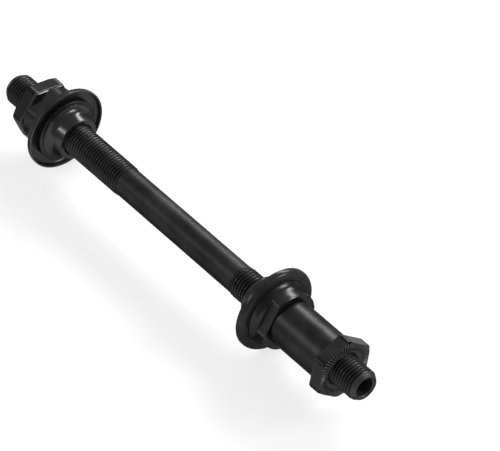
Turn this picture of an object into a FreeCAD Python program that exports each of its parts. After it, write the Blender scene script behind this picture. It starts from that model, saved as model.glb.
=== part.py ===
import FreeCAD, Part
import math
import os

# Rear hub axle set for a quick-release wheel, in millimetres.
# The axle lies along Y with its midpoint at the origin and +Z up.
# +Y is the left end. The spacer is at the right end, -Y.

# Axle
axle_length = 146.0
thread_r = 4.475
blank_step = 0.275
bore_r = 2.7
left_thread_length = 47.8
right_thread_length = 48.2
run_out = 1.8
end_chamfer_length = 1.3
end_chamfer_depth = 0.85
bore_chamfer = 0.35

# Threaded holes, with a countersink at both ends
thread_clearance = 0.05
countersink = 0.3

# Locknuts
nut_across_flats = 15.8
nut_thickness = 4.15
nut_face_step = 0.29
nut_chamfer_angle = 30.0
nut_bevel = 0.4
nut_dish_width = 1.7
nut_dish_depth = 0.8
serration_count = 60
serration_depth = 0.35
serration_width = 0.62
left_nut_angle = 50.2
right_nut_angle = 19.1

# Dust caps
cap_web = 2.95
cap_depth = 2.1
cap_sheet = 0.5
cap_corner_r = 1.4
cap_edge = 0.12

# Bearing cones: steps in radius, and places measured outwards from the dust cap's rim
nose_wall = 1.875
race_r = 2.5
shoulder_step = 0.65
seat_step = 0.95
flange_step = 0.4
flange_width = 0.3
collar_step = 1.2
nose_end = -5.35
nose_slope = 8.0
nose_chamfer = 0.2
shoulder_end = -0.95
seat_inner_end = -0.64
seat_chamfer = 0.15
flare_r = 2.6
collar_end = 7.14
collar_chamfer = 0.35
wrench_flat_depth = 1.4
wrench_flats_start = 3.7
left_collar_extra = 1.22
left_flats_angle = 20.0
right_flats_angle = 57.0

# Spacer
spacer_clearance = 0.32
spacer_wall = 1.835
spacer_length = 17.5
spacer_chamfer = 0.3

# Free thread beyond the locknuts
left_free_end = 9.65
right_free_end = 8.05

# Sizes that follow from these
hole_r = thread_r + thread_clearance
ball_circle_r = hole_r + nose_wall + race_r
shoulder_r = ball_circle_r - shoulder_step
seat_r = shoulder_r + seat_step
flange_r = seat_r + flange_step
collar_r = flange_r - collar_step
cap_r = seat_r + cap_web
left_nut_y = axle_length / 2 - left_free_end - nut_thickness
left_cap_y = left_nut_y - collar_end - left_collar_extra
right_nut_y = right_free_end + nut_thickness - axle_length / 2
spacer_y = right_nut_y + spacer_length
right_cap_y = spacer_y + collar_end


def in_profile(point):
    """Place of a point (y, r) in the plane of the profile."""
    return FreeCAD.Vector(point[1], point[0], 0)


def turned(path):
    """Solid turned about the Y axis from a closed path of steps (y, r).

    A step of two points is an arc: a point on it, then its end."""
    ends = [step[1] if isinstance(step[0], tuple) else step for step in path]
    edges = []
    for i, step in enumerate(path):
        start = in_profile(ends[i - 1])
        end = in_profile(ends[i])
        if step is ends[i]:
            edges.append(Part.makeLine(start, end))
        else:
            edges.append(Part.Arc(start, in_profile(step[0]), end).toShape())
    face = Part.Face(Part.Wire(edges))
    return face.revolve(FreeCAD.Vector(), FreeCAD.Vector(0, 1, 0), 360)


def arc_point(centre, radius, degrees):
    """Point (y, r) on a circle in the plane of the profile, from +y towards +r."""
    angle = math.radians(degrees)
    y = centre[0] + radius * math.cos(angle)
    r = centre[1] + radius * math.sin(angle)
    return (y, r)


def turn_about_axle(shape, degrees):
    """Turn a shape about the axle, from +Z towards -X."""
    turned_shape = shape.copy()
    turned_shape.rotate(FreeCAD.Vector(), FreeCAD.Vector(0, 1, 0), -degrees)
    return turned_shape


def facing_right(shape):
    """Turn a shape that faces +Y round to face -Y."""
    other = shape.copy()
    other.rotate(FreeCAD.Vector(), FreeCAD.Vector(0, 0, 1), 180)
    return other


def moved(shape, y):
    """Move a shape along the axle."""
    other = shape.copy()
    other.translate(FreeCAD.Vector(0, y, 0))
    return other


def make_axle():
    """Hollow axle: two threaded ends, a slimmer plain middle, a bore right through."""
    half = axle_length / 2
    chamfer_y = half - end_chamfer_length
    tip_r = thread_r - end_chamfer_depth
    plain_r = thread_r - blank_step
    left_thread_start = half - left_thread_length
    right_thread_start = right_thread_length - half
    return turned([
        (-half, bore_r + bore_chamfer),
        (-half, tip_r),
        (-chamfer_y, thread_r),
        (right_thread_start, thread_r),
        (right_thread_start + run_out, plain_r),
        (left_thread_start - run_out, plain_r),
        (left_thread_start, thread_r),
        (chamfer_y, thread_r),
        (half, tip_r),
        (half, bore_r + bore_chamfer),
        (half - bore_chamfer, bore_r),
        (bore_chamfer - half, bore_r),
    ])


def make_locknut(angle):
    """Hexagon locknut from y = 0 to its serrated outer face, which is dished round the hole.

    The outer corners are turned to a cone, the flats' edges at y = 0 are bevelled."""
    flat = nut_across_flats / 2
    corner = flat / math.cos(math.radians(30))
    points = []
    for i in range(7):
        turn = math.radians(angle + 30 + 60 * i)
        points.append(FreeCAD.Vector(-corner * math.sin(turn), 0, corner * math.cos(turn)))
    hexagon = Part.Face(Part.makePolygon(points))
    blank = hexagon.extrude(FreeCAD.Vector(0, nut_thickness, 0))
    hub_edges = [edge for edge in blank.Edges if edge.BoundBox.YMax < 0.001]
    blank = blank.makeChamfer(nut_bevel, hub_edges)

    over = corner + 1.0
    face_r = flat + nut_face_step
    dish_r = hole_r + nut_dish_width
    slope = math.tan(math.radians(nut_chamfer_angle))
    chamfer_start = nut_thickness - (over - face_r) * slope
    envelope = turned([
        (0, hole_r + countersink),
        (0, over),
        (chamfer_start, over),
        (nut_thickness, face_r),
        (nut_thickness, dish_r),
        (nut_thickness - nut_dish_depth, hole_r),
        (countersink, hole_r),
    ])
    nut = blank.common(envelope)

    inside = dish_r - serration_width
    groove_top = nut_thickness + serration_depth
    groove_floor = nut_thickness - serration_depth
    corners = [
        FreeCAD.Vector(-serration_width, groove_top, inside),
        FreeCAD.Vector(0, groove_floor, inside),
        FreeCAD.Vector(serration_width, groove_top, inside),
        FreeCAD.Vector(-serration_width, groove_top, inside),
    ]
    groove = Part.Face(Part.makePolygon(corners)).extrude(FreeCAD.Vector(0, 0, over - inside))
    grooves = []
    for i in range(serration_count):
        grooves.append(turn_about_axle(groove, angle + 360 * i / serration_count))
    return nut.cut(Part.makeCompound(grooves))


def make_dust_cap():
    """Shallow pressed cup, its rim towards y = 0 and its flat face outwards."""
    web = cap_depth - cap_sheet
    inner_wall = cap_r - cap_sheet
    bend = (cap_depth - cap_corner_r, cap_r - cap_corner_r)
    return turned([
        (web, seat_r),
        (cap_depth, seat_r),
        (cap_depth, bend[1]),
        (arc_point(bend, cap_corner_r, 45), (bend[0], cap_r)),
        (cap_edge, cap_r),
        (0, cap_r - cap_edge),
        (0, inner_wall + cap_edge),
        (cap_edge, inner_wall),
        (bend[0], inner_wall),
        (arc_point(bend, cap_corner_r - cap_sheet, 45), (web, bend[1])),
    ])


def make_cone(extra, angle):
    """Bearing cone: threaded hole, sloping nose and ball race towards the hub, a seat and a
    flange for the dust cap, a flared neck and a collar with two wrench flats."""
    race_depth = math.sqrt(race_r ** 2 - shoulder_step ** 2)
    race_centre = (shoulder_end - race_depth, ball_circle_r)
    race_stop = -math.degrees(math.asin(shoulder_step / race_r))
    race_start = nose_slope - 90
    race_foot = arc_point(race_centre, race_r, race_start)
    race_middle = arc_point(race_centre, race_r, (race_start + race_stop) / 2)
    nose_r = race_foot[1] - (race_foot[0] - nose_end) * math.tan(math.radians(nose_slope))

    flange_end = cap_depth + flange_width
    flare_rise = flare_r - collar_step
    flare_end = flange_end + math.sqrt(flare_r ** 2 - flare_rise ** 2)
    flare_centre = (flare_end, collar_r + flare_r)
    flare_start = 180 + math.degrees(math.asin(flare_rise / flare_r))
    flare_middle = arc_point(flare_centre, flare_r, (flare_start + 270) / 2)
    end = collar_end + extra

    body = turned([
        (nose_end, hole_r + countersink),
        (nose_end, nose_r - nose_chamfer),
        (nose_end + nose_chamfer, nose_r),
        race_foot,
        (race_middle, (shoulder_end, shoulder_r)),
        (seat_inner_end, shoulder_r),
        (seat_inner_end, seat_r - seat_chamfer),
        (seat_inner_end + seat_chamfer, seat_r),
        (cap_depth, seat_r),
        (cap_depth, flange_r),
        (flange_end, flange_r),
        (flare_middle, (flare_end, collar_r)),
        (end - collar_chamfer, collar_r),
        (end, collar_r - collar_chamfer),
        (end, hole_r + countersink),
        (end - countersink, hole_r),
        (nose_end + countersink, hole_r),
    ])

    flat = collar_r - wrench_flat_depth
    cutter = Part.makeBox(2 * cap_r, end, cap_r, FreeCAD.Vector(-cap_r, wrench_flats_start, flat))
    for side in (0, 180):
        body = body.cut(turn_about_axle(cutter, angle + side))
    return body


def make_spacer():
    """Plain tube with broken edges, loose over the thread, from y = 0 outwards."""
    inner = thread_r + spacer_clearance
    outer = inner + spacer_wall
    return turned([
        (0, inner + spacer_chamfer),
        (0, outer - spacer_chamfer),
        (spacer_chamfer, outer),
        (spacer_length - spacer_chamfer, outer),
        (spacer_length, outer - spacer_chamfer),
        (spacer_length, inner + spacer_chamfer),
        (spacer_length - spacer_chamfer, inner),
        (spacer_chamfer, inner),
    ])


pieces = {
    "axle": make_axle(),
    "left_locknut": moved(make_locknut(left_nut_angle), left_nut_y),
    "left_cone": moved(make_cone(left_collar_extra, left_flats_angle), left_cap_y),
    "left_dust_cap": moved(make_dust_cap(), left_cap_y),
    "right_cone": moved(facing_right(make_cone(0, -right_flats_angle)), right_cap_y),
    "right_dust_cap": moved(facing_right(make_dust_cap()), right_cap_y),
    "spacer": moved(facing_right(make_spacer()), spacer_y),
    "right_locknut": moved(facing_right(make_locknut(-right_nut_angle)), right_nut_y),
}

os.makedirs("parts", exist_ok=True)
for name, shape in pieces.items():
    print(name, shape.isValid(), len(shape.Solids), round(shape.Volume, 2), shape.BoundBox)
    shape.exportStep("parts/" + name + ".step")
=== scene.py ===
# %% [markdown]
# # A rear hub axle in black steel
# The part lies on a white table: a hollow threaded axle that carries two bearing cones, their pressed
# dust caps, a spacer and two locknuts. The solids from the CAD model give every place and size, and
# the physics. They have plain cylinders where the real pieces have threads, and knife edges where the
# real ones catch a line of light. This lesson turns each piece again with its thread and soft edges,
# gives it a black oxide finish, and lights it as a small product on a table is lit.

# %% Load the frame
import bpy
import numpy as np
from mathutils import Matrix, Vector


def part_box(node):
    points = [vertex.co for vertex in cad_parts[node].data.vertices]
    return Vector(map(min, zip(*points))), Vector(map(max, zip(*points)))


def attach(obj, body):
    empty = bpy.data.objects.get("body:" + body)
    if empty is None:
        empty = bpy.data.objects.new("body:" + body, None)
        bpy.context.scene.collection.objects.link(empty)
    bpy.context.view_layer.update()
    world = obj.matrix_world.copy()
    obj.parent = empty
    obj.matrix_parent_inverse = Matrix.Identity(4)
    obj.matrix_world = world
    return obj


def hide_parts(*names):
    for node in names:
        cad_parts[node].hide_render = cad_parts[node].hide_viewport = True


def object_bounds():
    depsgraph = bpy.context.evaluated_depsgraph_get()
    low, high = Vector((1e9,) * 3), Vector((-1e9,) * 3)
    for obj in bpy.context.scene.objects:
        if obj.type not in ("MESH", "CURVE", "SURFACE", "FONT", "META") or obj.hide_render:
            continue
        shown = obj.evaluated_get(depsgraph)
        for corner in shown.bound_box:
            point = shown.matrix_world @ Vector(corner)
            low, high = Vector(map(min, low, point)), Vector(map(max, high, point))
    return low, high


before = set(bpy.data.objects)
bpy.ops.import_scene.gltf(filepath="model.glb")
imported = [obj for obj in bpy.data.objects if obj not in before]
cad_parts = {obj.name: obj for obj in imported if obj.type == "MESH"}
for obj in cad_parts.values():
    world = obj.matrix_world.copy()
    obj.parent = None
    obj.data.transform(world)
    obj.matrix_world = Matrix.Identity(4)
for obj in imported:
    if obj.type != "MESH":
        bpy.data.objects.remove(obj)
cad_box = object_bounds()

print("box of the solids in mm:", np.round(np.array(cad_box) * 1000, 2).tolist())

# %% [markdown]
# ## Everything here is a ring
# Each piece has a hole right through it, so each one is a closed section carried once round the axle.
# A lathe works the same way. Blender's own Screw modifier could do it too, but a nut and a cone have
# flats, and their section changes with the angle. A grid of numbers allows that: one row for each
# point of the section, one column for each angle, and both directions close on themselves. Such a
# grid has no seams and no poles to mend.

# %% A closed ring from a grid
MM = 0.001


def ring(name, place, radius, turn):
    """A closed ring about the Y axis.

    Point (i, j) is (R sin a, Y, R cos a), with R = radius[i, j], Y = place[i, j] in mm, a = turn[j].
    Rows and columns both wrap round. Faces point outwards: a negative volume turns them all."""
    radius, place = np.broadcast_arrays(radius, place)
    points = np.stack([radius * np.sin(turn), place, radius * np.cos(turn)], axis=-1) * MM
    rows, columns = radius.shape
    points = points.reshape(-1, 3)
    i, j = np.meshgrid(np.arange(rows), np.arange(columns), indexing="ij")
    down = (i + 1) % rows
    right = (j + 1) % columns
    corners = [i * columns + j, i * columns + right, down * columns + right, down * columns + j]
    quads = np.stack(corners, -1).reshape(-1, 4)
    a, b, c, d = (points[quads[:, k]] for k in range(4))
    volume = np.einsum("ij,ij->", a, np.cross(b, c) + np.cross(c, d)) / 6
    if volume < 0:
        quads = quads[:, ::-1]
    mesh = bpy.data.meshes.new(name)
    mesh.vertices.add(len(points))
    mesh.vertices.foreach_set("co", points.ravel())
    mesh.loops.add(quads.size)
    mesh.loops.foreach_set("vertex_index", quads.ravel())
    mesh.polygons.add(len(quads))
    mesh.polygons.foreach_set("loop_start", np.arange(len(quads)) * 4)
    mesh.polygons.foreach_set("use_smooth", np.ones(len(quads), dtype=bool))
    mesh.update(calc_edges=True)
    mesh.validate()
    piece = bpy.data.objects.new(name, mesh)
    bpy.context.scene.collection.objects.link(piece)
    print(name, "triangles:", 2 * len(quads), "volume in mm3:", round(abs(volume) * 1e9, 1))
    return piece


def angles(columns, start=0.0):
    """Evenly spaced angles for a full turn, from a start in degrees."""
    return np.radians(start) + np.arange(columns) * 2 * np.pi / columns


# %% [markdown]
# ## Soft edges
# A real edge is never sharp. It is broken by a tool or by the plating, and that thin band is what
# shines in a photograph. A Bevel modifier could round the edges afterwards, but here the section is
# rounded before it is turned, so each edge has its own softness. Beside each rounding one more point
# stays on the straight side. It keeps the shading of the flat face flat.

# %% Rounded sections
def stretched(corners):
    """The corners' places and radii, all stretched to the same number of columns."""
    width = max(np.size(value) for corner in corners for value in corner[:2])
    return np.stack([[np.broadcast_to(value, width) for value in corner[:2]] for corner in corners])


def section(corners, steps=4):
    """Rows of a closed section from corners (place, radius, softness) in mm.

    Each rounding is the curve (1-t)^2 A + 2t(1-t) C + t^2 B, where C is the corner and A and B lie on
    its two sides at the distance given by the softness. A corner with no softness stays one point.
    Place and radius may each be one number or one per column."""
    table = stretched(corners)
    before = np.roll(table, 1, axis=0) - table
    after = np.roll(table, -1, axis=0) - table
    t = np.linspace(0, 1, steps)[:, None, None]
    rows = []
    for corner, back, on, (_, _, reach) in zip(table, before, after, corners):
        if reach == 0:
            rows.append(corner[None])
            continue
        a = back * np.minimum(reach / np.linalg.norm(back, axis=0), 0.4)
        b = on * np.minimum(reach / np.linalg.norm(on, axis=0), 0.4)
        curve = corner + (1 - t) ** 2 * a + t ** 2 * b
        rows += [(corner + 1.2 * a)[None], curve, (corner + 1.2 * b)[None]]
    rows = np.concatenate(rows)
    return rows[:, 0], rows[:, 1]


square = section([(0, 1, 0.2), (1, 1, 0), (1, 2, 0), (0, 2, 0)])
print("rows of a square section with one soft corner:", len(square[0]))

# %% [markdown]
# ## The axle and its thread
# The axle is a bored bar with a rolled thread on both ends: 26 ridges to the inch, right-handed. The
# middle keeps the slimmer size of the blank. A thread could be one long spiral strip, but then its two
# ends need patching. As a height over the bar it needs none: the radius at each place and angle falls
# from the crest by the thread's depth, and the wave climbs one pitch for each turn. Where the bar is
# chamfered, the lower of the two wins, as when the end is cut after rolling.

# %% The axle's sizes
PITCH = 25.4 / 26
THREAD_R, PLAIN_R, BORE_R = 4.475, 4.2, 2.7
THREAD_DEPTH = 0.52
LEFT_START, RIGHT_START, RUN_OUT = 25.2, -24.8, 1.8
CHAMFER_LENGTH, CHAMFER_DEPTH = 1.3, 0.85
MOUTH_LENGTH, MOUTH_DEPTH = 0.4, 0.45
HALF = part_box("axle")[1][1] / MM
turns = (2 * HALF - LEFT_START + RIGHT_START) / PITCH
print("half of the axle in mm:", round(HALF, 3), "turns of thread:", round(turns, 1))


# %% The thread as a height
def smooth(value):
    """An S-shaped step from 0 to 1."""
    value = np.clip(value, 0, 1)
    return value * value * (3 - 2 * value)


def axle_radius(place, turn):
    """Outside radius of the axle.

    The bar: the thread's size outside, a cone down to the plain size at each run-out, a chamfer at
    each end. The groove: a triangle wave of (place / pitch - angle / full turn) with rounded crest and
    root, deep on the thread and fading to nothing over the run-out."""
    past_thread = np.minimum(LEFT_START - place, place - RIGHT_START)
    run_out = np.clip(past_thread / RUN_OUT, 0, 1)
    bar = THREAD_R + (PLAIN_R - THREAD_R) * run_out
    wave = np.abs(2 * ((place / PITCH - turn / (2 * np.pi)) % 1) - 1)
    slope = 1.15 * wave - 0.05
    groove = 0.5 * (smooth(slope) + np.clip(slope, 0, 1))
    past_chamfer = np.abs(place) - (HALF - CHAMFER_LENGTH)
    chamfer = THREAD_R - CHAMFER_DEPTH * past_chamfer / CHAMFER_LENGTH
    return np.minimum(bar - THREAD_DEPTH * groove * (1 - run_out), chamfer)


once_round = axle_radius(60.0, angles(360))
print("height of the ridges in mm:", round(float(np.ptp(once_round)), 2))

# %% The axle
AXLE_COLUMNS = 72
ROW = PITCH / 10
PLAIN_ROWS = 24
turn = angles(AXLE_COLUMNS)
outside = np.concatenate([
    np.arange(-HALF, RIGHT_START + RUN_OUT, ROW),
    np.linspace(RIGHT_START + RUN_OUT + 0.1, LEFT_START - RUN_OUT - 0.1, PLAIN_ROWS),
    -np.arange(-HALF, -(LEFT_START - RUN_OUT), ROW)[::-1],
])[:, None] * np.ones(AXLE_COLUMNS)
bore_place, bore_radius = section([
    (HALF, BORE_R + MOUTH_DEPTH, 0.06),
    (HALF - MOUTH_LENGTH, BORE_R, 0.08),
    (-HALF + MOUTH_LENGTH, BORE_R, 0.08),
    (-HALF, BORE_R + MOUTH_DEPTH, 0.06),
])
axle = ring(
    "hub_axle",
    np.concatenate([outside, bore_place * np.ones(AXLE_COLUMNS)]),
    np.concatenate([axle_radius(outside, turn), bore_radius * np.ones(AXLE_COLUMNS)]),
    turn,
)

# %% [markdown]
# ## Locknuts
# A locknut is a slice of hexagon bar with slightly round corners. One end is turned to a cone, the
# other end's edges carry a narrow bevel, and the outer face is dished round the hole and has radial
# teeth that bite into the frame. Six cuts on a cylinder would make the hexagon. In a grid the flat is
# simpler: at each angle its radius is the apothem over the cosine of the angle to the nearest flat.
# The teeth are one more wave, this time along the place.

# %% The nuts' teeth
TEETH = 60
TOOTH_DEPTH, GROOVE_HALF = 0.35, 0.31


def teeth(radius, turn, start):
    """Depth of the radial grooves: sixty to the turn, V-shaped, 0.62 mm wide at the face."""
    step = 2 * np.pi / TEETH
    off = np.abs((turn - start + step / 2) % step - step / 2)
    return TOOTH_DEPTH * np.clip(1 - off * radius / GROOVE_HALF, 0, 1)


print("teeth stand apart by mm at 8 mm radius:", round(8 * 2 * np.pi / TEETH, 2))

# %% The nuts' section
NUT_FLAT, NUT_DEPTH = 15.8 / 2, 4.15
CORNER_R = 0.7
FACE_R, FACE_SLOPE = 8.19, np.radians(30)
DISH_R, DISH_DEPTH = 6.2, 0.8
HOLE_R = THREAD_R + 0.05
COUNTERSINK = 0.3
BEVEL = 0.4
NUT_COLUMNS = 12 * TEETH


def locknut(name, base, outward, angle):
    """A nut from its plain face at base, its toothed face outwards; angle is that of one flat.

    The hexagon's corners are rounded: near a corner its radius is that of a circle of 0.7 mm that
    touches both flats."""
    start = np.radians(-angle)
    turn = angles(NUT_COLUMNS, -angle)
    to_flat = (turn - start + np.pi / 6) % (np.pi / 3) - np.pi / 6
    to_corner = np.pi / 6 - np.abs(to_flat)
    centre = (NUT_FLAT - CORNER_R) / np.cos(np.pi / 6)
    reach = np.maximum(CORNER_R ** 2 - (centre * np.sin(to_corner)) ** 2, 0)
    rounded = centre * np.cos(to_corner) + np.sqrt(reach)
    touching = np.arctan(CORNER_R / 2 / (centre + CORNER_R * np.cos(np.pi / 6)))
    side = np.where(to_corner < touching, rounded, NUT_FLAT / np.cos(to_flat))
    cone = np.maximum(0.06, (side - FACE_R) * np.tan(FACE_SLOPE))
    rim = np.minimum(FACE_R, side - 0.05)
    across = [share * rim + (1 - share) * DISH_R for share in (1, 0.75, 0.5, 0.25)]
    place, radius = section([
        (COUNTERSINK, HOLE_R, 0),
        (0, HOLE_R + COUNTERSINK, 0.06),
        (0, side - BEVEL, 0.12),
        (BEVEL, side, 0.5),
        (NUT_DEPTH - cone, side, 0.2),
        *((NUT_DEPTH - teeth(radius, turn, start), radius, 0) for radius in across),
        (NUT_DEPTH - teeth(DISH_R + 0.1, turn, start), DISH_R + 0.1, 0),
        (NUT_DEPTH - 0.1 - 0.6 * teeth(DISH_R, turn, start), DISH_R - 0.05, 0),
        (NUT_DEPTH - 0.45, DISH_R - 0.8, 0),
        (NUT_DEPTH - DISH_DEPTH, HOLE_R, 0),
    ])
    return ring(name, base + outward * place, radius, turn)


left_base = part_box("left_locknut")[0][1] / MM
right_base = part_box("right_locknut")[1][1] / MM
left_nut = locknut("locknut_left", left_base, 1, 50.2)
right_nut = locknut("locknut_right", right_base, -1, 19.1)

# %% [markdown]
# ## Dust caps
# A dust cap is a shallow cup pressed from half-millimetre sheet, with its rim towards the hub. Its
# bend has one radius outside and one sheet less inside. It could be a disc with Solidify, but a turned
# section shows both skins and the cut edge of the rim exactly.

# %% The caps' section
CAP_R, CAP_DEPTH, SHEET, BEND = 12.15, 2.1, 0.5, 1.4
SEAT_R = 9.2
ROUND_COLUMNS = 180


def arc(centre, size, start, stop, count):
    """Points (place, radius, no softness) on a circle, its angles measured from +place to +radius."""
    angle = np.radians(np.linspace(start, stop, count))
    places = centre[0] + size * np.cos(angle)
    radii = centre[1] + size * np.sin(angle)
    return [(place, radius, 0) for place, radius in zip(places, radii)]


def round_ring(name, corners):
    """A ring with the same section all round."""
    place, radius = section(corners)
    even = np.ones(ROUND_COLUMNS)
    return ring(name, place * even, radius * even, angles(ROUND_COLUMNS))


def dust_cap(name, rim, outward):
    """A cap with the edge of its rim at the given place."""
    centre = (CAP_DEPTH - BEND, CAP_R - BEND)
    corners = [
        (CAP_DEPTH - SHEET, SEAT_R, 0.06),
        (CAP_DEPTH, SEAT_R, 0.08),
        *arc(centre, BEND, 0, 90, 12),
        (0, CAP_R, 0.14),
        (0, CAP_R - SHEET, 0.14),
        *arc(centre, BEND - SHEET, 90, 0, 8),
    ]
    return round_ring(name, [(rim + outward * place, radius, soft) for place, radius, soft in corners])


left_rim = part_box("left_dust_cap")[0][1] / MM
right_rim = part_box("right_dust_cap")[1][1] / MM
left_cap = dust_cap("dust_cap_left", left_rim, 1)
right_cap = dust_cap("dust_cap_right", right_rim, -1)

# %% [markdown]
# ## Bearing cones
# A cone is turned from bar: a nose, a concave race where the balls run, a shoulder, the seat and the
# flange that hold the dust cap, and a flared neck down to a collar with two wrench flats. The whole
# outline is one section. The flats are the smaller of two radii at each angle: the round collar, or
# the flat's distance over the cosine.

# %% The cones' section
RACE_R, BALL_CIRCLE, RACE_FOOT = 2.5, 8.9, -82
NOSE_END, NOSE_TAPER = -5.35, 0.3
SHOULDER_END, SHOULDER_R = -0.95, 8.25
SEAT_END = -0.64
FLANGE_R, FLANGE_END = 9.6, 2.4
NECK_R, COLLAR_R, COLLAR_CHAMFER = 2.6, 8.4, 0.35
FLATS_START, FLAT_R = 3.7, 7.0
CONE_COLUMNS = 360


def bearing_cone(name, rim, outward, end, angle):
    """A cone whose place is measured from the dust cap's rim; end is the end of its collar.

    Race and neck are arcs of circles, which start where they meet the shoulder and the flange. Past
    the start of the flats each radius is the smaller one of the neck or collar and of the flat."""
    turn = angles(CONE_COLUMNS, -angle)
    across = np.abs(np.cos(turn + np.radians(angle)))
    flat = FLAT_R / np.maximum(across, 0.1)
    collar = np.minimum(COLLAR_R, flat)
    over_shoulder = BALL_CIRCLE - SHOULDER_R
    race_centre = SHOULDER_END - np.sqrt(RACE_R ** 2 - over_shoulder ** 2)
    race_end = -np.degrees(np.arcsin(over_shoulder / RACE_R))
    under_flange = COLLAR_R + NECK_R - FLANGE_R
    neck_end = FLANGE_END + np.sqrt(NECK_R ** 2 - under_flange ** 2)
    neck_start = 180 + np.degrees(np.arcsin(under_flange / NECK_R))
    to_flats = 180 + np.degrees(np.arccos((neck_end - FLATS_START) / NECK_R))
    neck = arc((neck_end, COLLAR_R + NECK_R), NECK_R, neck_start, to_flats, 12)
    milled = arc((neck_end, COLLAR_R + NECK_R), NECK_R, to_flats, 270, 5)
    place, radius = section([
        (NOSE_END + COUNTERSINK, HOLE_R, 0),
        (NOSE_END, HOLE_R + COUNTERSINK, 0.06),
        (NOSE_END, BALL_CIRCLE - RACE_R - NOSE_TAPER, 0.2),
        *arc((race_centre, BALL_CIRCLE), RACE_R, RACE_FOOT, race_end, 20),
        (SHOULDER_END + 0.02, SHOULDER_R + 0.02, 0),
        (SEAT_END, SHOULDER_R + 0.06, 0.08),
        (SEAT_END, SEAT_R, 0.3),
        (CAP_DEPTH, SEAT_R, 0),
        (CAP_DEPTH, FLANGE_R, 0.06),
        (FLANGE_END - 0.05, FLANGE_R, 0),
        *neck,
        *((place + 0.03, np.minimum(radius, flat), 0) for place, radius, soft in milled),
        (end - np.maximum(0.06, collar - COLLAR_R + COLLAR_CHAMFER), collar, 0.05),
        (end, np.minimum(COLLAR_R - COLLAR_CHAMFER, collar - 0.06), 0.06),
        (end, HOLE_R + COUNTERSINK, 0.06),
        (end - COUNTERSINK, HOLE_R, 0),
    ])
    return ring(name, rim + outward * place, radius, turn)


left_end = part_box("left_cone")[1][1] / MM - left_rim
right_end = right_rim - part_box("right_cone")[0][1] / MM
left_cone = bearing_cone("bearing_cone_left", left_rim, 1, left_end, 20.0)
right_cone = bearing_cone("bearing_cone_right", right_rim, -1, right_end, 57.0)

# %% [markdown]
# ## Spacer
# The spacer is a plain piece of tube between the right cone and its nut. Its edges are broken by a
# file, and its wall is loose over the thread.

# %% The spacer's section
SPACER_R, SPACER_MOUTH, SPACER_BORE, SPACER_EDGE = 6.63, 5.1, 4.795, 0.3
low, high = (value / MM for value in (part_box("spacer")[0][1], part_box("spacer")[1][1]))
spacer = round_ring("spacer_tube", [
    (low, SPACER_MOUTH, 0.05),
    (low, SPACER_R, SPACER_EDGE),
    (high, SPACER_R, SPACER_EDGE),
    (high, SPACER_MOUTH, 0.05),
    (high - SPACER_EDGE, SPACER_BORE, 0.05),
    (low + SPACER_EDGE, SPACER_BORE, 0.05),
])

# %% [markdown]
# ## Shader maths in plain Python
# A material is a graph of nodes, and a sum of three values is already two nodes and four links. A
# small class hides that: it wraps a socket, and +, - and * on it add the Math nodes. One method makes
# every other node.

# %% Wrapped sockets
class Value:
    """A number that travels through a graph of nodes. Operators add Math nodes."""

    def __init__(self, graph, socket):
        self.graph = graph
        self.socket = socket

    def maths(self, operation, *others):
        """Any Math node, with this value as its first input."""
        return self.graph.node("ShaderNodeMath", [self, *others], operation=operation)

    def __add__(self, other):
        return self.maths("ADD", other)

    def __sub__(self, other):
        return self.maths("SUBTRACT", other)

    def __rsub__(self, other):
        return self.graph.node("ShaderNodeMath", [other, self], operation="SUBTRACT")

    def __mul__(self, other):
        return self.maths("MULTIPLY", other)

    def clamped(self, low, high):
        """0 below low, 1 above high, straight between."""
        return self.graph.node("ShaderNodeMapRange", [self, low, high, 0.0, 1.0], clamp=True)


# %% Graphs and finishes
class Graph:
    """The nodes of a material or of the world."""

    def __init__(self, tree):
        self.tree = tree

    def feed(self, socket, value):
        """Link a wrapped value to a socket, or set a constant on it."""
        if isinstance(value, Value):
            self.tree.links.new(value.socket, socket)
        else:
            socket.default_value = value

    def node(self, kind, inputs=(), output=0, **settings):
        """Any node, with its inputs by number or by name, and its settings."""
        made = self.tree.nodes.new(kind)
        for key, value in settings.items():
            setattr(made, key, value)
        pairs = inputs.items() if isinstance(inputs, dict) else enumerate(inputs)
        for key, value in pairs:
            self.feed(made.inputs[key], value)
        return Value(self, made.outputs[output])

    def split(self, vector):
        """The three parts of a vector."""
        parts = self.node("ShaderNodeSeparateXYZ", [vector]).socket.node
        return [Value(self, part) for part in parts.outputs]


class Finish(Graph):
    """A material under construction, with a Principled surface."""

    def __init__(self, name):
        self.material = bpy.data.materials.new(name)
        self.material.use_nodes = True
        super().__init__(self.material.node_tree)
        self.surface = self.tree.nodes["Principled BSDF"]

    def set(self, **values):
        """Inputs of the surface; a space in a name is written as _."""
        for key, value in values.items():
            self.feed(self.surface.inputs[key.replace("_", " ")], value)

    def noise(self, vector, scale, detail, roughness):
        """Noise about 0.5; scale counts its waves in a metre."""
        inputs = {"Vector": vector, "Scale": scale, "Detail": detail, "Roughness": roughness}
        return self.node("ShaderNodeTexNoise", inputs)

    def mix(self, factor, first, second):
        """A colour between two colours."""
        return self.node("ShaderNodeMix", {0: factor, 6: first, 7: second}, 2, data_type="RGBA")

    def bump(self, height, strength, distance):
        """A normal that leans as if the surface had this height, in units of the distance in m."""
        inputs = {"Strength": strength, "Distance": distance, "Height": height}
        return self.node("ShaderNodeBump", inputs)


# %% [markdown]
# ## Black oxide
# Black oxide is a thin dark skin grown on the steel in a hot bath. It hides the colour of the metal
# and keeps the marks of the lathe, so the light still runs in fine rings round each piece. A black
# plastic would turn pale at every grazing edge. So the turned pieces are mostly a dark metal with a
# dark edge tint, while the pressed caps and the matt nuts scatter more of the light, as paint does.
# The rings are noise read along the axle and along the radius, but hardly round the angle. Fine grain
# and slow clouds break up the gloss.

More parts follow.
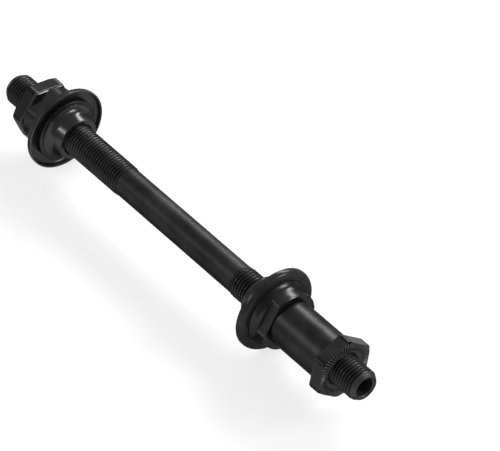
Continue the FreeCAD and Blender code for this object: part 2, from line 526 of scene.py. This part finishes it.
# %% The finish
NORMAL, OWN_AXES = 1, 3  # outputs of the Texture Coordinate node
# a pale grey for wear and for painted highlights and painted light
PALE_WEAR_AND_PAINTED_LIGHT = (0.13, 0.13, 0.13, 1)
EDGE_TINT = (0.18, 0.18, 0.18, 1)
POLISHED_METAL = 0.8
SMOOTHED = 0.2  # what a full polish takes off the roughness


def tinted(shade, red, green, blue):
    """A near-black of the given brightness with a slight tint."""
    return (shade * red, shade * green, shade * blue, 1)


def black_oxide(name, gloss, rings, shade, grain=1.0, metal=0.75, index=1.1, detail=None):
    """Black oxide over turned steel.

    gloss is the mean roughness, rings the strength of the lathe marks, shade the base's brightness,
    metal the share that mirrors; the rest scatters light as paint does. detail names a function of
    (place along the axle and distance from it in mm, lean of the surface along the axle). It gives
    three values from 0 to 1: how little painted shade darkens the surface, how polished it is, and how
    far its colour turns to a paler grey, for wear and for painted highlights and painted light."""
    finish = Finish(name)
    spot = finish.node("ShaderNodeTexCoord", output=OWN_AXES)
    x, y, z = finish.split(spot)
    radius = (x * x + z * z).maths("SQRT")
    angle = x.maths("ARCTAN2", z)
    lathe = finish.node("ShaderNodeCombineXYZ", [radius, y, angle * 0.0004])
    marks = finish.noise(lathe, 5200.0, 2.0, 0.7)
    wide = finish.noise(lathe, 900.0, 2.0, 0.6)
    pores = finish.noise(spot, 5200.0, 4.0, 0.65)
    clouds = finish.noise(spot, 160.0, 3.0, 0.55)
    tone = clouds.clamped(0.35, 0.7) * 0.7 + pores.clamped(0.45, 0.75) * 0.3
    colour = finish.mix(tone, tinted(shade, 0.7, 0.7, 0.73), tinted(shade, 1.4, 1.39, 1.37))
    spread = (marks - 0.5) * 0.14 + (clouds - 0.5) * 0.16 + (pores - 0.5) * 0.16 + (wide - 0.5) * 0.08
    rough = spread + gloss
    if detail:
        lean = finish.split(finish.node("ShaderNodeTexCoord", output=NORMAL))[1]
        free_of_painted_shade, polish, wear_and_painted_light = detail(y * 1000, radius * 1000, lean)
        # painted shade: a near black where the surface lies in a groove of the thread or between the
        # teeth
        colour = finish.mix(free_of_painted_shade, tinted(shade, 0.3, 0.3, 0.31), colour)
        # a paler grey for wear and for painted highlights and painted light
        colour = finish.mix(wear_and_painted_light, colour, PALE_WEAR_AND_PAINTED_LIGHT)
        rough = rough - polish * SMOOTHED
        metal = polish * (POLISHED_METAL - metal) + metal
    finish.set(Base_Color=colour, Roughness=rough.maths("MAXIMUM", 0.08))
    relief = marks * rings + wide * rings * 0.8 + pores * 0.5 * grain
    finish.set(Normal=finish.bump(relief, 0.32, 0.00001))
    finish.set(Metallic=metal, Specular_Tint=EDGE_TINT, IOR=index)
    print(name, "nodes:", len(finish.tree.nodes))
    return finish.material


# %% [markdown]
# ## Wear, painted shade and painted light
# Some of the paler colour is the skin's own wear: the wrench flats are scuffed and the race is ground.
# The rest is light and shade painted into the colour: painted shade in the thread's grooves and
# between the nuts' teeth, painted highlights on the thread's crests, the teeth's crests, the caps'
# rims and the flats' borders, and painted light on the nuts' bevels and faces and inside the caps.
# The bore and the axle's chamfered ends are paler too. The crests, bevels and rims are also polished.
# An image could be painted for each piece. A few measures do it more exactly: the place along the
# axle, the distance from it and the lean of the surface tell a groove from a crest, and a face from
# an edge.

# %% Wear, painted shade and painted light of the axle and of the caps
def thread_detail(place, radius, lean):
    """Painted shade in the thread's grooves, polish and a painted highlight on its crests, and paler
    in the bore and on the chamfered ends."""
    crest = radius.clamped(THREAD_R - 0.115, THREAD_R - 0.015)
    bore = 1.0 - radius.clamped(BORE_R + 0.1, BORE_R + 0.5)
    chamfer = HALF - CHAMFER_LENGTH
    end = place.maths("ABSOLUTE").clamped(chamfer, chamfer + 0.2) * (1.0 - bore)
    # painted highlight: the crests paler; the bore and the chamfered ends paler too
    wear_and_painted_light = (crest * 0.35 + end * 0.3).maths("MAXIMUM", bore * 0.5)
    # painted shade: darker in the thread's grooves, below 4.2 mm
    free_of_painted_shade = radius.clamped(3.98, 4.2).maths("MAXIMUM", bore).maths("MAXIMUM", end)
    return free_of_painted_shade, crest, wear_and_painted_light


def cap_detail(place, radius, lean):
    """Painted light makes the inside of the cup paler against the shade in it, and a painted highlight
    and polish lie on the cut edge of its rim.
    """
    ahead = lean * place.maths("SIGN")
    outer = radius.clamped(CAP_R - 0.43, CAP_R - 0.3)
    inside = (1.0 - ahead.clamped(0.1, 0.4)) * (1.0 - outer)
    rim = (0.0 - ahead).clamped(0.2, 0.5) * outer
    # painted light inside the cup, painted highlight on the rim's cut edge
    return 1.0, rim, inside * 0.35 + rim * 0.5


# %% Wear, painted shade and painted light of the nuts and of the cones
def nut_detail(face):
    """Painted shade in the grooves of the toothed face and a painted highlight on their crests;
    painted light makes the bevels and the end faces and dish paler; polished on the other edges.

    face is the distance of the toothed face from the axle's middle in mm."""
    def detail(place, radius, lean):
        ahead = lean.maths("ABSOLUTE")
        end = ahead.clamped(0.5, 0.6)
        beyond = place.maths("ABSOLUTE") - face
        dish = end * (1.0 - radius.clamped(DISH_R - 0.2, DISH_R + 0.1))
        toothed = (end - dish) * beyond.clamped(-0.6, -0.5)
        crest = beyond.clamped(-0.2, -0.08)
        bevel = ahead.clamped(0.08, 0.2)
        edge = (bevel - dish - toothed * 0.6).maths("MAXIMUM", radius.clamped(8.6, 8.75))
        # painted highlight on the teeth's crests, painted light on the bevels, end faces and dish
        wear_and_painted_light = toothed * crest * 0.9 + (bevel - toothed) * 0.5
        # painted shade in the teeth's grooves
        return 1.0 - toothed * (1.0 - crest), edge, wear_and_painted_light
    return detail


def cone_detail(rim):
    """Scuffed wrench flats with a painted highlight along their polished borders, and a ground race.

    rim is the distance of the dust cap's rim from the axle's middle in mm."""
    def detail(place, radius, lean):
        off = place.maths("ABSOLUTE") - rim
        beyond = off.clamped(FLATS_START - 0.05, FLATS_START + 0.05)
        race = 1.0 - off.clamped(SHOULDER_END - 0.1, SHOULDER_END)
        below = 1.0 - radius.clamped(COLLAR_R - 0.06, COLLAR_R - 0.02)
        flat = beyond * below * (1.0 - lean.maths("ABSOLUTE").clamped(0.1, 0.3))
        border = flat * radius.clamped(COLLAR_R - 0.4, COLLAR_R - 0.15)
        # paler: scuffed flats and the ground race, and a painted highlight on the flats' borders
        return 1.0, border, flat * 0.25 + border * 0.6 + race * 0.25
    return detail


# %% The finishes of this set
def cone_black(name, rim):
    """A glossy finish with faint rings, for a cone whose cap has its rim at this distance."""
    return black_oxide(name, 0.25, 0.2, 0.042, 0.5, detail=cone_detail(rim))


def nut_black(name, index, face):
    """A matt, grainy finish. The index sets how pale the flats turn at a grazing angle."""
    return black_oxide(name, 0.4, 0.25, 0.03, 1.4, 0.05, index, nut_detail(face))


turned_black = black_oxide("black_oxide_turned", 0.38, 1.0, 0.04)
left_cone_black = cone_black("black_oxide_left_cone", left_rim)
right_cone_black = cone_black("black_oxide_right_cone", -right_rim)
sheet_black = black_oxide("black_oxide_sheet", 0.27, 0.3, 0.042, metal=0.45, detail=cap_detail)
left_nut_black = nut_black("black_oxide_left_nut", 1.06, left_base + NUT_DEPTH)
right_nut_black = nut_black("black_oxide_right_nut", 1.22, NUT_DEPTH - right_base)
axle_black = black_oxide("black_oxide_axle", 0.45, 0.9, 0.04, detail=thread_detail)

# %% [markdown]
# ## Dressing the model
# Each new piece hides the solid it stands for, takes its finish and rides with that solid's body,
# so the joints carry the dressed piece along.

# %% Pieces, nodes, bodies and finishes
dressing = [
    (axle, "axle", "axle", "axle", axle_black),
    (left_nut, "left_locknut", "left_locknut", "locknut", left_nut_black),
    (right_nut, "right_locknut", "right_locknut", "locknut", right_nut_black),
    (left_cap, "left_dust_cap", "left_cone", "dust_cap", sheet_black),
    (right_cap, "right_dust_cap", "right_cone", "dust_cap", sheet_black),
    (left_cone, "left_cone", "left_cone", "cone", left_cone_black),
    (right_cone, "right_cone", "right_cone", "cone", right_cone_black),
    (spacer, "spacer", "spacer", "spacer", turned_black),
]
for piece, node, body, slot, material in dressing:
    piece.data.materials.append(material)
    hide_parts(node)
    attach(piece, body)
print("dressed:", [entry[1] for entry in dressing])

# %% [markdown]
# ## The table
# The picture has a white ground. A brighter lamp would burn out the black pieces' edges, so the table
# is a pale surface that adds its own white where the camera, a reflection or a refraction sees it. The
# share that stays a plain surface keeps the soft shadow.

# %% Table
TABLE_HALF = 4
GLOW, GLOW_SHARE = 1.22, 0.6
table_mesh = bpy.data.meshes.new("table")
top = cad_box[0][2]
corners = np.array([[-1, -1], [1, -1], [1, 1], [-1, 1]]) * TABLE_HALF
table_mesh.from_pydata([(x, y, top) for x, y in corners.tolist()], [], [(0, 1, 2, 3)])
floor = bpy.data.objects.new("table", table_mesh)
bpy.context.scene.collection.objects.link(floor)
white = Finish("white_table")
white.set(Base_Color=(0.86, 0.86, 0.86, 1), Roughness=0.9, Specular_IOR_Level=0.0)
path = white.node("ShaderNodeLightPath").socket.node
seen = Value(white, path.outputs["Is Camera Ray"])
for way in ("Is Glossy Ray", "Is Transmission Ray"):
    seen = seen.maths("MAXIMUM", Value(white, path.outputs[way]))
glow = white.node("ShaderNodeEmission", {"Color": (1, 1, 1, 1), "Strength": GLOW})
plain = Value(white, white.surface.outputs[0])
blend = white.node("ShaderNodeMixShader", [seen * GLOW_SHARE, plain, glow])
white.feed(white.tree.nodes["Material Output"].inputs["Surface"], blend)
table_mesh.materials.append(white.material)
print("table at mm:", round(top / MM, 2))

# %% [markdown]
# ## Light
# Black glossy pieces show the lamps, not themselves: each highlight is the picture of a softbox. On a
# cylinder a stripe stands where the surface looks half way between the camera and the lamp, so the
# stripes in a photograph tell where its lamps stood. Here a large one stands on the far side, a
# small one at the far right draws the line on the left nut's bevel, and a weak one stands at the near
# left. The world is a dim grey that fades towards the right end, and the dark parts reflect it.

# %% World
world = bpy.data.worlds.new("studio")
bpy.context.scene.world = world
world.use_nodes = True
sky = Graph(world.node_tree)
along = sky.split(sky.node("ShaderNodeTexCoord"))[1]
right_grey, left_grey = 0.22, 0.34
fade = sky.node("ShaderNodeMapRange", [along, -0.8, 0.5, right_grey, left_grey])
background = sky.tree.nodes["Background"]
sky.feed(background.inputs["Strength"], fade)
sky.feed(background.inputs["Color"], (1, 1, 1, 1))
print("world from", right_grey, "at the right end to", left_grey)


# %% Softboxes
LAMP_DISTANCE = 1.2


def softbox(name, direction, width, height, power):
    """A rectangular lamp that stands along a direction from the part and faces it."""
    lamp = bpy.data.lights.new(name, "AREA")
    lamp.shape = "RECTANGLE"
    lamp.size, lamp.size_y = width, height
    lamp.energy = power
    holder = bpy.data.objects.new(name, lamp)
    way = np.array(direction) / np.linalg.norm(direction)
    holder.location = way * LAMP_DISTANCE
    holder.rotation_euler = Vector(way.tolist()).to_track_quat("Z", "Y").to_euler()
    bpy.context.scene.collection.objects.link(holder)
    print(name, "watts:", power, "size in m:", width, height)


softbox("lamp_back", (0.78, 0.35, 0.52), 0.84, 0.3, 15.0)
softbox("lamp_right", (0.64, -0.60, 0.49), 0.35, 0.25, 5.0)
softbox("lamp_left", (-0.72, 0.3, 0.6), 0.5, 0.2, 3.2)

# %% [markdown]
# ## Camera
# The view is that of the photograph: a long lens, a little over a metre away, above the right end and
# behind it. Only its place and two angles are needed, because it isn't rolled.

# %% The photograph's view
lens = bpy.data.cameras.new("camera")
lens.sensor_width = 36.0
lens.lens = 290.2
lens.clip_start = 0.01
camera = bpy.data.objects.new("camera", lens)
camera.location = (-0.46454, -0.59834, 0.72915)
camera.rotation_euler = (np.radians(90 - 43.83), 0, np.radians(-39.12))
bpy.context.scene.collection.objects.link(camera)
bpy.context.scene.camera = camera
bpy.context.scene.view_settings.view_transform = "Standard"
print("camera's distance in m:", round(camera.location.length, 3))
